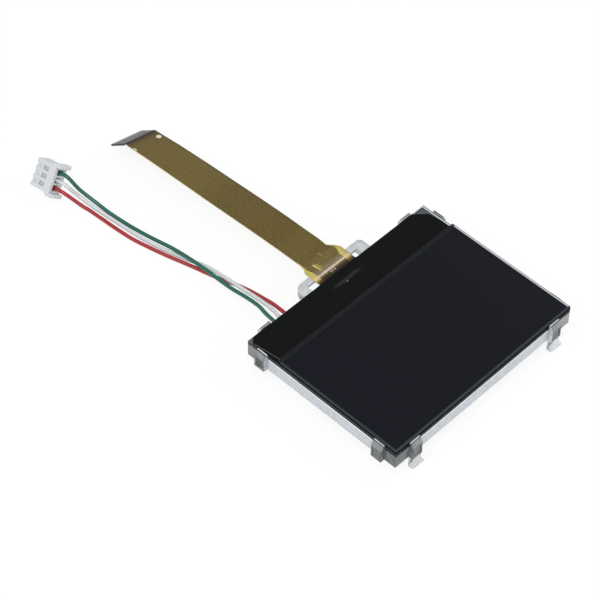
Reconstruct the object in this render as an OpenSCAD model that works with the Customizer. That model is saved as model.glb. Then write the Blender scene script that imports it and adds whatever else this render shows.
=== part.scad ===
// Chip-on-glass graphic display module with an edge-lit backlight, a long
// flexible circuit and a three-wire backlight lead.  Millimetres, +Z up.
// The module is worked out with Y = 0 at the tail edge of the glass, the body
// towards -Y and the flexible circuit towards +Y, and is centred at the end.

/* [Display glass] */
// Width of the two glass plates
glass_w = 60; // [56:0.5:66]
// Depth of the rear glass plate, contact ledge included
glass_d = 46.8; // [44:0.2:52]
// Thickness of each glass plate
glass_t = 0.7; // [0.5:0.1:1.1]
// Gap between the plates that the liquid crystal fills
cell_gap = 0.05; // [0.04:0.01:0.1]
// Width of the glue seal round the cell
seal_w = 1.2; // [0.8:0.1:2]
// Depth of the contact ledge that the front glass leaves bare
ledge_d = 9.5; // [8:0.1:12]
// Thickness of each polarizer film
polarizer_t = 0.2; // [0.15:0.05:0.3]
// Bare margin of glass round the front polarizer
polarizer_margin = 0.45; // [0.3:0.05:1]

/* [Backlight] */
// Thickness of the light guide
guide_t = 3.9; // [3.6:0.1:4.6]
// Width of the black frame that borders the lit window
mask_w = 3; // [2:0.1:5]
// Thickness of the white reflector films
reflector_t = 0.15; // [0.1:0.05:0.25]
// Thickness of the diffuser film
diffuser_t = 0.25; // [0.15:0.05:0.4]
// Number of light-emitting diodes
led_count = 4; // [2:1:6]
// Length of the circuit board that carries them
board_l = 41.6; // [39:0.2:42]

/* [Glass clips] */
// Width of each clip
clip_w = 3.1; // [2.4:0.1:3.6]
// How far a clip stands out from the glass edge
clip_t = 1.25; // [1:0.05:1.6]
// Height of a clip above the top of the light guide
clip_rise = 1.3; // [1.1:0.1:1.6]
// Glass corner to the middle of a clip on the long sides
clip_inset_long = 6; // [5:0.5:7]
// Glass corner to the middle of a clip on the short sides
clip_inset_short = 4.9; // [4:0.1:7]

/* [Snap legs] */
// Height of the light guide above the leg tips
leg_h = 4.6; // [4:0.1:6]
// Thickness of a leg, which runs on below a clip of its own width
leg_t = 1; // [0.8:0.05:1.2]
// Reach of the locking barb beyond the leg
barb_reach = 1.4; // [0.8:0.1:1.8]
// Height of the barb above the leg tip
barb_h = 2.6; // [1.5:0.1:3]

/* [Flex bracket] */
// Width of the bracket's opening
bracket_open_w = 17; // [14:0.2:18]
// Clear gap between the glass edge and the bracket's bar
bracket_gap = 1.75; // [1.2:0.05:2.4]
// Width of the bar that the flexible circuit lies on
bracket_bar = 1.85; // [1.4:0.05:2.6]
// Thickness of the bar
bracket_bar_t = 0.8; // [0.6:0.1:1.2]
// Width of each arm
bracket_arm = 2.9; // [2.5:0.1:4.5]
// Thickness of each arm
bracket_t = 1.8; // [1.5:0.1:2.2]

/* [Flexible circuit] */
// Number of conductors
ways = 20; // [14:1:20]
// Conductor pitch
way_pitch = 0.5; // [0.4:0.05:0.5]
// Thickness of the film with its coverlay
flex_t = 0.2; // [0.12:0.02:0.3]
// Width of the head that is bonded to the glass
head_w = 12.25; // [11.5:0.25:13]
// Distance from the bracket's bar to the crease
flex_reach = 65; // [50:1:90]
// Length of the stiffened end beyond the crease
tail_l = 5.3; // [4:0.1:7]
// Steepness of the stiffened end
tail_drop = 34; // [25:1:45]
// Thickness of the stiffener under the end
stiffener_t = 0.25; // [0.15:0.05:0.4]

/* [Backlight lead] */
// Outside diameter of each wire
wire_d = 1; // [0.8:0.05:1.1]
// Spacing of the wires where they leave the backlight
wire_pitch = 1.8; // [1.6:0.1:1.9]
// Distance of the middle wire from the middle of the module
lead_x = 18; // [17.5:0.1:18]

/* [Connector] */
// Spacing of the contacts
pole_pitch = 2; // [1.8:0.1:2]
// Width of the housing at its mating end
plug_w = 7.2; // [6.6:0.1:8]
// Length of the housing
plug_l = 7.9; // [7.4:0.1:9]
// Thickness of the housing
plug_t = 3.9; // [3.5:0.1:4.6]

/* [Hidden] */
$fn = 48;

// Levels of the stack above the surface that the legs stand on
guide_top = leg_h + guide_t;
rear_glass_z = guide_top + polarizer_t;
ledge_z = rear_glass_z + glass_t;
front_glass_z = ledge_z + cell_gap;
face_z = front_glass_z + glass_t;

// Outline of the body
half_w = glass_w / 2;
front_y = -glass_d;

// Clips: the long sides run along X, the short sides along Y
clip_x = half_w - clip_inset_long;
clip_y = [front_y + clip_inset_short, -clip_inset_short];
clip_h = guide_t + clip_rise;
clip_lip = 0.4;
clip_step = 0.2;
clip_bevel_h = 1.2;
clip_panel = 0.2;
clip_panel_rim = 0.45;
root = 0.5;

// Pocket in the tail side for the lamp board
film_gap = 0.2;
board_t = 0.6;
board_h = 3;
led_size = [3, 1, 1.6];
pocket_wall = 0.9;
pocket_y = -pocket_wall - board_t;
lamp_y = pocket_y - led_size.y;
lead_z = leg_h + guide_t / 2;
notch_h = 1.7;
solder_d = 1.2;
solder_l = 0.5;

// Light path: the lit window under the glass
window_front = front_y + mask_w;
window_back = -ledge_d - mask_w / 2;
window_w = glass_w - 2 * mask_w;
film_clear = 0.1;

// Contact ledge
tape_t = 0.1;
tape_inset = 0.15;
tape_skew = 1;
tape_corner_right = 3;
tape_corner_left = 1.5;
bond_l = 1.5;
chip_size = [9.6, 1.2, 0.3];
chip_y = -3.5;

// Bracket
bracket_top = ledge_z;
bracket_round = 2.7;
bracket_chamfer = 0.8;
bar_y = [bracket_gap, bracket_gap + bracket_bar];
bracket_half = bracket_open_w / 2 + bracket_arm;

// Flexible circuit: its underside runs from the ledge over the bar to the
// crease; the end beyond the crease is flat, and its lowest corner is at z = 0
strip_w = (ways + 1) * way_pitch;
shoulder_y = [bar_y[1] + 1.1, bar_y[1] + 4.1];
tail_roll = 13.5;
strip_drop = 8;
crease_r = 0.6;
crease_steps = 5;
tail_root_z = strip_w / 2 * sin(tail_roll)
    + (tail_l * sin(tail_drop) + stiffener_t * cos(tail_drop)) * cos(tail_roll);
crease_rise = crease_r * (cos(strip_drop) - cos(tail_drop));
crease_run = crease_r * (sin(tail_drop) - sin(strip_drop));
strip_end = [0.45, bar_y[1] + flex_reach, tail_root_z + crease_rise * cos(tail_roll)];
tail_root = strip_end + tilt([0, crease_run, -crease_rise], tail_roll);
finger_t = 0.04;
finger_margin = 0.4;

// Course of the strip beyond the bar: share of the reach, sideways offset,
// share of the height left, and roll about its length
COURSE = [
    [0.00, 0.0, 1.00, 0],
    [0.10, 0.2, 1.00, -4],
    [0.25, 0.3, 0.89, -2.5],
    [0.40, 0.35, 0.73, 0.5],
    [0.55, 0.35, 0.56, 4],
    [0.70, 0.4, 0.39, 7.5],
    [0.85, 0.4, 0.21, 11],
    [1.00, 0.45, 0.00, 13.5]
];
strip_rings = 36;

// Connector: lies on its side at the end of the lead, mating end slightly down
plug_at = [-24.6, 70.5];
plug_heading = 1;
plug_dip = 12;
plug_roll = 50;
ear_w = plug_w + 1.4;
ear_l = 1.2;
flare_r = 2;
flare_y = 3.4;
cavity = [1.5, 2];
mouth = 1.1;
lance_window = [1.1, 1.9];
window_y = 3.4;
crimp_y = 1.9;
plug_z = plug_w / 2 * sin(plug_roll) * cos(plug_dip) + plug_l * sin(plug_dip)
    + plug_t / 2 * cos(plug_roll) * cos(plug_dip);

// Whole object: the reach along Y that is centred on the origin
top_of_tail = [0, tail_l, flex_t];
far_y = tail_root.y + top_of_tail.y * cos(tail_drop) + top_of_tail.z * sin(tail_drop);
near_y = front_y - clip_t;
centre_y = (far_y + near_y) / 2;

// Lead: each wire's course as offsets from the middle wire's exit
GREEN_COURSE = [
    [-1.8, 1, 6.5], [-1, 5, 5.7], [0, 8.5, 4.8], [0.5, 13, 3.7], [0.6, 18.5, 2.6],
    [0.7, 24, 2.2], [0.7, 29, 2], [0.5, 34, 1.8], [0.1, 39, 1.4], [-0.7, 45, 0.8],
    [-1.5, 51.5, 0.5], [-2.1, 57.5, 0.6], [-2.6, 62.5, 1.4], [-3.8, 67, 3.6]
];
WHITE_COURSE = [
    [0, 1, 6.5], [0.9, 5, 5.8], [1.5, 8.5, 4.9], [1.9, 13.5, 3.7], [2.1, 18.5, 2.8],
    [2.2, 23.5, 2], [2.1, 28.5, 1.1], [1, 33, 0.6], [-0.3, 37.5, 0.5],
    [-1.4, 42, 0.5], [-2.3, 47.5, 0.5], [-2.9, 54, 0.5], [-3.5, 60.5, 0.7],
    [-4.6, 66.5, 2.2]
];
RED_COURSE = [
    [1.8, 1, 6.5], [2.6, 6, 5.2], [3, 10, 3.9], [3.1, 15, 2.6], [2.7, 19, 1.7],
    [1.9, 23, 0.9], [0.9, 28, 0.5], [-0.4, 33, 0.5], [-1.8, 38, 0.5], [-3, 43, 0.5],
    [-4, 48, 0.5], [-4.5, 53.5, 0.5], [-4.8, 59, 0.5], [-5.4, 64, 0.8]
];
wire_rings = 27;

// ---- functions -----------------------------------------------------------

// Vector turned about Y: a positive roll lowers the +X side
function tilt(v, roll) = [
    v.x * cos(roll) + v.z * sin(roll),
    v.y,
    v.z * cos(roll) - v.x * sin(roll)
];

function unit(v) = v / norm(v);

// Catmull-Rom curve between b and c
function spline(a, b, c, d, t) =
    (2 * b + (c - a) * t + (2 * a - 5 * b + 4 * c - d) * t * t
        + (3 * b - a - 3 * c + d) * t * t * t) / 2;

// The list carried on by one mirrored point at each end
function extended(list) = let (n = len(list)) concat(
    [2 * list[0] - list[1]], list, [2 * list[n - 1] - list[n - 2]]
);

// A number of places on the smooth curve through the points
function curve(points, count) = let (p = extended(points), spans = len(points) - 1) [
    for (k = [0 : count - 1]) let (
        u = k / (count - 1) * spans,
        i = min(floor(u), spans - 1)
    ) spline(p[i], p[i + 1], p[i + 2], p[i + 3], u - i)
];

// Faces of a skin over closed rings of n points, with both ends capped
function skin_faces(rings, n) = concat(
    [[for (j = [n - 1 : -1 : 0]) j]],
    [for (i = [0 : rings - 2], j = [0 : n - 1], corner = [0, 1]) let (
        a = i * n + j,
        b = i * n + (j + 1) % n
    ) corner == 0 ? [a, b, b + n] : [a, b + n, a + n]],
    [[for (j = [0 : n - 1]) (rings - 1) * n + j]]
);

// Place on the connector, given from the middle of its wire end
function on_plug(p) = let (
    rolled = tilt(p, -plug_roll),
    dipped = [
        rolled.x,
        rolled.y * cos(plug_dip) + rolled.z * sin(plug_dip),
        rolled.z * cos(plug_dip) - rolled.y * sin(plug_dip)
    ]
) [
    plug_at.x + dipped.x * cos(plug_heading) - dipped.y * sin(plug_heading),
    plug_at.y + dipped.x * sin(plug_heading) + dipped.y * cos(plug_heading),
    plug_z + dipped.z
];

// ---- helpers -------------------------------------------------------------

// Puts a piece into the object's own frame
module placed() {
    translate([0, -centre_y, 0]) children();
}

// Block centred on X, from one Y to another, standing on z
module slab(w, y0, y1, z, h) {
    translate([-w / 2, y0, z]) cube([w, y1 - y0, h]);
}

// Repeats a child, drawn facing +Y at the origin, at every clip
module at_clips() {
    for (side = [-1, 1]) {
        translate([side * clip_x, 0, leg_h]) children();
        translate([side * clip_x, front_y, leg_h]) rotate([0, 0, 180]) children();
        for (y = clip_y)
            translate([side * half_w, y, leg_h]) rotate([0, 0, -90 * side]) children();
    }
}

// Clip: an upright with a thin lip, a bevelled brow and a sunken outer panel
module clip() {
    difference() {
        translate([-clip_w / 2, 0, 0]) rotate([90, 0, 90]) linear_extrude(clip_w)
            polygon([
                [-root, 0], [clip_t, 0], [clip_t, clip_h - clip_step - clip_bevel_h],
                [clip_lip + 0.2, clip_h - clip_step], [clip_lip, clip_h - clip_step],
                [clip_lip, clip_h], [0, clip_h], [0, guide_t], [-root, guide_t]
            ]);
        translate([-clip_w / 2 + clip_panel_rim, clip_t - clip_panel, clip_panel_rim])
            cube([clip_w - 2 * clip_panel_rim, 1,
                clip_h - clip_step - clip_bevel_h - 2 * clip_panel_rim]);
    }
}

// Snap leg seen along Y: straight back, round heel, flat sole and a barb
module leg_outline() {
    heel = 1.5;
    difference() {
        polygon([
            [0, 0], [clip_w + barb_reach, 0], [clip_w + barb_reach, 0.2],
            [clip_w, barb_h], [clip_w, leg_h + root], [0, leg_h + root]
        ]);
        difference() {
            translate([-1, -1]) square(heel + 1);
            translate([heel, heel]) circle(heel);
        }
    }
}

// Leg on one edge of the body, outside the glass, a step behind its clip's face
module leg(x, y) {
    translate([x, y + leg_t, 0]) rotate([90, 0, 0]) linear_extrude(leg_t) leg_outline();
}

// Bracket from above: one large round corner and one small chamfer
module bracket_outline() {
    difference() {
        translate([-bracket_half, -root]) square([2 * bracket_half, bar_y[1] + root]);
        translate([-bracket_open_w / 2, -root - 1])
            square([bracket_open_w, bar_y[0] + root + 1]);
        bracket_corners();
    }
}

// What the bracket's two outer corners lose
module bracket_corners() {
    difference() {
        translate([-bracket_half - 1, bar_y[1] - bracket_round])
            square(bracket_round + 1);
        translate([-bracket_half + bracket_round, bar_y[1] - bracket_round])
            circle(bracket_round);
    }
    translate([bracket_half, bar_y[1]]) rotate(45)
        square(bracket_chamfer * sqrt(2), center = true);
}

// Sunken bed for a reflector on one side of the body
module side_bed(length, clear) {
    translate([-length / 2 + clear, -reflector_t, film_gap + clear])
        cube([length - 2 * clear, reflector_t, guide_t - 2 * (film_gap + clear)]);
}

long_bed = 2 * clip_x - clip_w;
short_bed = clip_y[1] - clip_y[0] - clip_w;
short_bed_y = (clip_y[0] + clip_y[1]) / 2;

module front_bed(clear = 0) {
    translate([0, front_y, leg_h]) rotate([0, 0, 180]) side_bed(long_bed, clear);
}

module short_side_bed(side, clear = 0) {
    translate([side * half_w, short_bed_y, leg_h]) rotate([0, 0, -90 * side])
        side_bed(short_bed, clear);
}

// Ring between two rectangles, both given as [width, y0, y1]
module frame_ring(outer, inner, z, h) {
    difference() {
        slab(outer[0], outer[1], outer[2], z, h);
        slab(inner[0], inner[1], inner[2], z - 1, h + 2);
    }
}

// ---- backlight -----------------------------------------------------------

// One clear moulding: light guide, clips, snap legs, bracket and lamp pocket
module backlight_housing() color([0.82, 0.85, 0.87]) placed() {
    difference() {
        union() {
            slab(glass_w, front_y, 0, leg_h, guide_t);
            at_clips() clip();
            for (side = [-1, 1], y = [front_y - leg_t, 0])
                leg(side * clip_x - clip_w / 2, y);
            bracket();
        }
        front_bed();
        for (side = [-1, 1]) short_side_bed(side);
        rear_bed();
        diffuser_bed();
        lamp_pocket();
    }
}

// The arms run into the guide below its top and stand at the glass edge above
// it; the bar between them is thinner
module bracket() {
    low = bracket_top - bracket_t;
    difference() {
        union() {
            translate([0, 0, low]) linear_extrude(guide_top - low) bracket_outline();
            translate([0, 0, guide_top]) linear_extrude(bracket_top - guide_top)
                intersection() {
                    bracket_outline();
                    translate([-half_w, 0]) square([glass_w, glass_d]);
                }
        }
        slab(bracket_open_w, 0, bar_y[1] + 1, low - 1, bracket_t + 1 - bracket_bar_t);
    }
}

module rear_bed() {
    slab(window_w + 2, window_front - 1, lamp_y - 0.5, leg_h - 1, reflector_t + 1);
}

module diffuser_bed() {
    slab(window_w + 1, window_front - 0.5, window_back + 0.5, guide_top - diffuser_t,
        diffuser_t + 1);
}

// Pocket for board and lamps, open below, with a notch for the three wires
module lamp_pocket() {
    slab(board_l, pocket_y, -pocket_wall, leg_h - 1, board_h + 1);
    for (x = led_places())
        translate([x - led_size.x / 2, lamp_y, leg_h - 1])
            cube([led_size.x, led_size.y + 0.1, board_h + 1]);
    translate([-lead_x - wire_pitch - 0.9, -pocket_wall - 0.1, lead_z - notch_h / 2])
        cube([2 * wire_pitch + 1.8, pocket_wall + 1, notch_h]);
}

function led_places() =
    [for (i = [0 : led_count - 1]) (i - (led_count - 1) / 2) * board_l / led_count];

module front_reflector() color([0.93, 0.94, 0.95]) placed() front_bed(0.05);

module left_reflector() color([0.93, 0.94, 0.95]) placed() short_side_bed(-1, 0.05);

module right_reflector() color([0.93, 0.94, 0.95]) placed() short_side_bed(1, 0.05);

module rear_reflector() color([0.95, 0.95, 0.95]) placed()
    slab(window_w + 2 - 2 * film_clear, window_front - 1 + film_clear,
        lamp_y - 0.5 - film_clear, leg_h, reflector_t);

module diffuser_film() color([0.9, 0.91, 0.92]) placed()
    slab(window_w + 1 - 2 * film_clear, window_front - 0.5 + film_clear,
        window_back + 0.5 - film_clear, guide_top - diffuser_t, diffuser_t);

module led_board() color([0.2, 0.4, 0.25]) placed()
    slab(board_l, pocket_y, -pocket_wall, leg_h, board_h);

// Lamps on the board's front face, shining into the guide
module leds() color([0.95, 0.9, 0.65]) placed()
    for (x = led_places())
        translate([x - led_size.x / 2, lamp_y, lead_z - led_size.z / 2]) cube(led_size);

// Solder on the board's back face, one joint to a wire
module solder_joints() color([0.75, 0.76, 0.78]) placed()
    for (i = [-1, 0, 1])
        translate([-lead_x + i * wire_pitch, -pocket_wall, lead_z]) rotate([-90, 0, 0])
            cylinder(h = solder_l, d = solder_d);

// ---- display cell --------------------------------------------------------

// Black double-sided frame between backlight and glass
module light_mask_frame() color([0.07, 0.07, 0.08]) placed()
    frame_ring([glass_w, front_y, 0], [window_w, window_front, window_back],
        guide_top, polarizer_t);

module rear_polarizer() color([0.2, 0.2, 0.24]) placed()
    slab(window_w - 2 * film_clear, window_front + film_clear,
        window_back - film_clear, guide_top, polarizer_t);

module rear_glass() color([0.55, 0.62, 0.64]) placed()
    slab(glass_w, front_y, 0, rear_glass_z, glass_t);

module cell_seal() color([0.6, 0.6, 0.62]) placed()
    frame_ring([glass_w, front_y, -ledge_d],
        [glass_w - 2 * seal_w, front_y + seal_w, -ledge_d - seal_w], ledge_z, cell_gap);

module liquid_crystal() color([0.25, 0.26, 0.34]) placed()
    slab(glass_w - 2 * seal_w, front_y + seal_w, -ledge_d - seal_w, ledge_z, cell_gap);

module front_glass() color([0.5, 0.57, 0.6]) placed()
    slab(glass_w, front_y, -ledge_d, front_glass_z, glass_t);

module front_polarizer() color([0.12, 0.12, 0.16]) placed()
    slab(glass_w - 2 * polarizer_margin, front_y + polarizer_margin,
        -ledge_d - 2 * polarizer_margin, face_z, polarizer_t);

// Bare driver chip on the ledge
module driver_chip() color([0.35, 0.36, 0.4]) placed()
    translate([-chip_size.x / 2, chip_y, ledge_z]) cube(chip_size);

// Black tape over the ledge: it rises over the chip and the bonded head, and
// its tail corners are cut back to the bare glass
module ledge_tape() color([0.1, 0.1, 0.1]) placed()
    difference() {
        union() {
            translate([0, 0, ledge_z]) linear_extrude(tape_t) tape_outline();
            tape_ridge(chip_size.x, chip_y, chip_y + chip_size.y, chip_size.z);
            slab(head_w + 2 * tape_t, -bond_l - tape_t, 0, ledge_z, flex_t + tape_t);
        }
        driver_chip_space();
        slab(head_w, -bond_l, 1, ledge_z, flex_t);
    }

module driver_chip_space() {
    translate([-chip_size.x / 2, chip_y, ledge_z]) cube(chip_size);
}

// The tape stops just inside the glass, and its two ends are cut a little askew
module tape_outline() {
    left = -half_w + tape_inset;
    right = half_w - tape_inset;
    polygon([
        [left + tape_skew, -ledge_d], [right, -ledge_d],
        [right - tape_skew, -tape_corner_right],
        [right - tape_skew - tape_corner_right, -tape_inset],
        [left + tape_corner_left, -tape_inset], [left, -tape_corner_left]
    ]);
}

// Tent of tape over a block, sloping down in front and behind
module tape_ridge(w, y0, y1, h) {
    slope = 0.6;
    top = h + tape_t;
    translate([-w / 2 - tape_t, 0, ledge_z]) rotate([90, 0, 90])
        linear_extrude(w + 2 * tape_t)
            polygon([[y0 - slope, 0], [y1 + slope, 0], [y1, top], [y0, top]]);
}

// ---- flexible circuit ----------------------------------------------------

// Width of the film at a distance from the glass: two round shoulders
function film_w(y) = let (
    t = (y - shoulder_y[0]) / (shoulder_y[1] - shoulder_y[0]),
    s = min(max(t, 0), 1)
) strip_w + (head_w - strip_w) * sqrt(1 - s * s) * (1 - s);

// Course of the strip as [x, y, z, roll] points
function strip_course() = [for (c = COURSE) [
    c[1],
    bar_y[1] + c[0] * flex_reach,
    strip_end.z + (bracket_top - strip_end.z) * c[2],
    c[3]
]];

// One section of the film: a flat rectangle on its underside's middle point
function film_ring(p, pitch, roll, w, t = flex_t) = let (
    side = tilt([w / 2, 0, 0], roll),
    up = tilt([0, t * sin(pitch), t * cos(pitch)], roll)
) [p - side, p + side, p + side + up, p - side + up];

// Steepness at one point of the course
function course_pitch(c, i) = let (
    a = c[max(i - 1, 0)],
    b = c[min(i + 1, len(c) - 1)]
) i == 0 ? 0 : i == len(c) - 1 ? strip_drop : atan2(a.z - b.z, b.y - a.y);

function flex_rings() = let (course = curve(strip_course(), strip_rings)) concat(
    [film_ring([0, -bond_l, ledge_z], 0, 0, head_w)],
    [for (i = [0 : len(course) - 1]) film_ring(
        [course[i].x, course[i].y, course[i].z],
        course_pitch(course, i), course[i][3], film_w(course[i].y))],
    [for (k = [1 : crease_steps]) let (
        a = strip_drop + (tail_drop - strip_drop) * k / crease_steps,
        run = crease_r * (sin(a) - sin(strip_drop)),
        fall = crease_r * (cos(strip_drop) - cos(a))
    ) film_ring(strip_end + tilt([0, run, -fall], tail_roll), a, tail_roll, strip_w)],
    [film_ring(
        tail_root + tilt([0, tail_l * cos(tail_drop), -tail_l * sin(tail_drop)], tail_roll),
        tail_drop, tail_roll, strip_w)]
);

// Polyimide film: bonded head, shoulders, twisted strip, crease and flat end
module flex_circuit() color([0.45, 0.38, 0.2]) placed() {
    rings = flex_rings();
    polyhedron(
        points = [for (r = rings) each r],
        faces = skin_faces(len(rings), 4),
        convexity = 6
    );
}

// Places a child on the flat end, in its own frame: +Y towards the edge
module on_tail() {
    translate(tail_root) rotate([-tail_drop, tail_roll, 0]) children();
}

// Tinned contacts on the upper face of the flat end
module contact_fingers() color([0.62, 0.6, 0.62]) placed() on_tail()
    for (i = [0 : ways - 1])
        translate([(i - (ways - 1) / 2) * way_pitch - way_pitch * 0.3,
            finger_margin, flex_t])
            cube([way_pitch * 0.6, tail_l - 2 * finger_margin, finger_t]);

module flex_stiffener() color([0.3, 0.28, 0.3]) placed() on_tail()
    translate([-strip_w / 2, finger_margin, -stiffener_t])
        cube([strip_w, tail_l - finger_margin, stiffener_t]);

// ---- backlight lead ------------------------------------------------------

// Whole route of one wire, from its solder joint to its crimp
function wire_route(course, i, entry) = concat(
    [[-lead_x + i * wire_pitch, -pocket_wall + solder_l, lead_z]],
    [for (p = course) [p.x - lead_x, p.y, p.z]],
    [on_plug([-i * pole_pitch, -entry, 0]), on_plug([-i * pole_pitch, crimp_y, 0])]
);

// Direction of the route at one ring; the two ends point straight in
function heading(p, i, last) =
    i == 0 ? [0, 1, 0]
    : i == len(p) - 1 ? last
    : unit(p[i + 1] - p[i - 1]);

// Round tube swept along the points, kept above the surface
module tube(points, last) {
    sides = 8;
    n = len(points);
    rings = [for (i = [0 : n - 1]) let (
        d = heading(points, i, last),
        u = unit(cross(d, [0, 0, 1])),
        v = cross(u, d),
        p = [points[i].x, points[i].y, max(points[i].z, wire_d / 2)]
    ) for (k = [0 : sides - 1]) let (a = (k + 0.5) * 360 / sides)
        p + wire_d / 2 * (cos(a) * u + sin(a) * v)];
    polyhedron(points = rings, faces = skin_faces(n, sides), convexity = 6);
}

module wire(course, i, entry) {
    inward = on_plug([0, 1, 0]) - on_plug([0, 0, 0]);
    tube(curve(wire_route(course, i, entry), wire_rings), inward);
}

module green_wire() color([0.15, 0.4, 0.33]) placed() wire(GREEN_COURSE, -1, 1.5);

module white_wire() color([0.85, 0.85, 0.86]) placed() wire(WHITE_COURSE, 0, 1.5);

module red_wire() color([0.68, 0.2, 0.22]) placed() wire(RED_COURSE, 1, 2);

// ---- connector -----------------------------------------------------------

// Places a child on the connector: +Y from the wires to the mating end
module on_connector() {
    translate([plug_at.x, plug_at.y, plug_z])
        rotate([-plug_dip, 0, plug_heading]) rotate([0, -plug_roll, 0]) children();
}

// Outline from the windowed face: slim mating end, flared ears at the wires
module plug_outline() {
    side_cut = (ear_w - plug_w) / 2;
    difference() {
        translate([-ear_w / 2, 0]) square([ear_w, plug_l]);
        for (side = [-1, 1]) {
            translate([side * (plug_w / 2 + flare_r), flare_y]) circle(flare_r);
            translate([side * (plug_w / 2 + side_cut / 2 + 0.5), (flare_y + plug_l + 1) / 2])
                square([side_cut + 1, plug_l + 1 - flare_y], center = true);
        }
        translate([-plug_w / 2 + 0.3, -1]) square([plug_w - 0.6, ear_l + 1]);
    }
}

// Crimp housing: three cavities, a window for each lance, lead-in grooves
module connector_housing() color([0.9, 0.91, 0.92]) placed() on_connector()
    difference() {
        translate([0, 0, -plug_t / 2]) linear_extrude(plug_t) plug_outline();
        for (i = [-1, 0, 1]) translate([i * pole_pitch, 0, 0]) {
            translate([-cavity.x / 2, -1, -cavity.y / 2])
                cube([cavity.x, plug_l, cavity.y]);
            translate([-mouth / 2, 1, -mouth / 2]) cube([mouth, plug_l, mouth]);
            translate([-lance_window.x / 2, window_y, 0])
                cube([lance_window.x, lance_window.y, plug_t]);
            translate([-mouth / 2, window_y + lance_window.y + 0.6, plug_t / 2 - 0.35])
                cube([mouth, plug_l, 1]);
        }
    }

// Crimp terminal: barrel round the wire's end, box on the cavity's floor, lance
module terminal(i) on_connector() translate([-i * pole_pitch, 0, 0]) {
    box_y = 3.2;
    box_l = plug_l - 1 - box_y;
    box_w = cavity.x - 0.2;
    translate([0, crimp_y, 0]) rotate([-90, 0, 0])
        cylinder(h = box_y - crimp_y + 0.2, d = wire_d);
    difference() {
        translate([-box_w / 2, box_y, -cavity.y / 2]) cube([box_w, box_l, cavity.y - 0.5]);
        translate([-mouth / 2 + 0.2, box_y + 1, -0.4]) cube([mouth - 0.4, box_l, 0.6]);
    }
    translate([-0.35, window_y, cavity.y / 2 - 0.6]) cube([0.7, 1.2, 1]);
}

module green_terminal() color([0.8, 0.78, 0.6]) placed() terminal(-1);

module white_terminal() color([0.8, 0.78, 0.6]) placed() terminal(0);

module red_terminal() color([0.8, 0.78, 0.6]) placed() terminal(1);

// ---- nodes ---------------------------------------------------------------

backlight_housing();
front_reflector();
left_reflector();
right_reflector();
rear_reflector();
diffuser_film();
led_board();
leds();
solder_joints();
light_mask_frame();
rear_polarizer();
rear_glass();
cell_seal();
liquid_crystal();
front_glass();
front_polarizer();
driver_chip();
ledge_tape();
flex_circuit();
contact_fingers();
flex_stiffener();
green_wire();
white_wire();
red_wire();
connector_housing();
green_terminal();
white_terminal();
red_terminal();
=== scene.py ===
import math

import bmesh
import bpy
from mathutils import Matrix, Vector


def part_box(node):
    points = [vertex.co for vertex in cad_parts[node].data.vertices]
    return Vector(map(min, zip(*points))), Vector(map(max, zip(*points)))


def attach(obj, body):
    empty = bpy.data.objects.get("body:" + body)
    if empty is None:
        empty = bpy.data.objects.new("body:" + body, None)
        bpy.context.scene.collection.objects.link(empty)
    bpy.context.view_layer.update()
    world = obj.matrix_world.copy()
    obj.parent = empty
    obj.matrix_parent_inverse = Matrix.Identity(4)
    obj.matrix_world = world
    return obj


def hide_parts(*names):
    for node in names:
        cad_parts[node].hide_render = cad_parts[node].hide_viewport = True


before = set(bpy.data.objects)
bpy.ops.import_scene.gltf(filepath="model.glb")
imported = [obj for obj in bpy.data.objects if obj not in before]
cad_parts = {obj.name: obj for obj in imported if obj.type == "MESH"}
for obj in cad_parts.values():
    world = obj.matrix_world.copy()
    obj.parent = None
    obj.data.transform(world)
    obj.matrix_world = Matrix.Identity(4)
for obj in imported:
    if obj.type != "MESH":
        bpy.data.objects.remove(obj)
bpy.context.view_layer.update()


# ---------------------------------------------------------------- camera
# A long lens looks down on the module from the front left, turned by a
# degree about its own axis.
view_turn = math.radians(-46.475)
view_height = math.radians(49.694)
view_roll = math.radians(0.998)
eye = Vector((-0.28770, -0.27385, 0.45668))

lens = bpy.data.cameras.new("camera")
lens.lens = 150
lens.sensor_width = 36
lens.clip_start = 0.01
camera = bpy.data.objects.new("camera", lens)
bpy.context.collection.objects.link(camera)
camera.matrix_world = (
    Matrix.Translation(eye)
    @ Matrix.Rotation(view_turn, 4, "Z")
    @ Matrix.Rotation(math.pi / 2 - view_height, 4, "X")
    @ Matrix.Rotation(view_roll, 4, "Z")
)
bpy.context.scene.camera = camera


# ---------------------------------------------------------- backlight lead
# Three stranded wires in soft PVC, soldered to the lamp board and crimped
# into the plug.  They sag to the surface, and the green one crosses over.
def linear(red, green, blue):
    """An sRGB colour, from 0 to 255 a channel, as linear light."""
    shares = [channel / 255 for channel in (red, green, blue)]
    light = [s / 12.92 if s <= 0.04045 else ((s + 0.055) / 1.055) ** 2.4 for s in shares]
    return (*light, 1.0)


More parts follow.
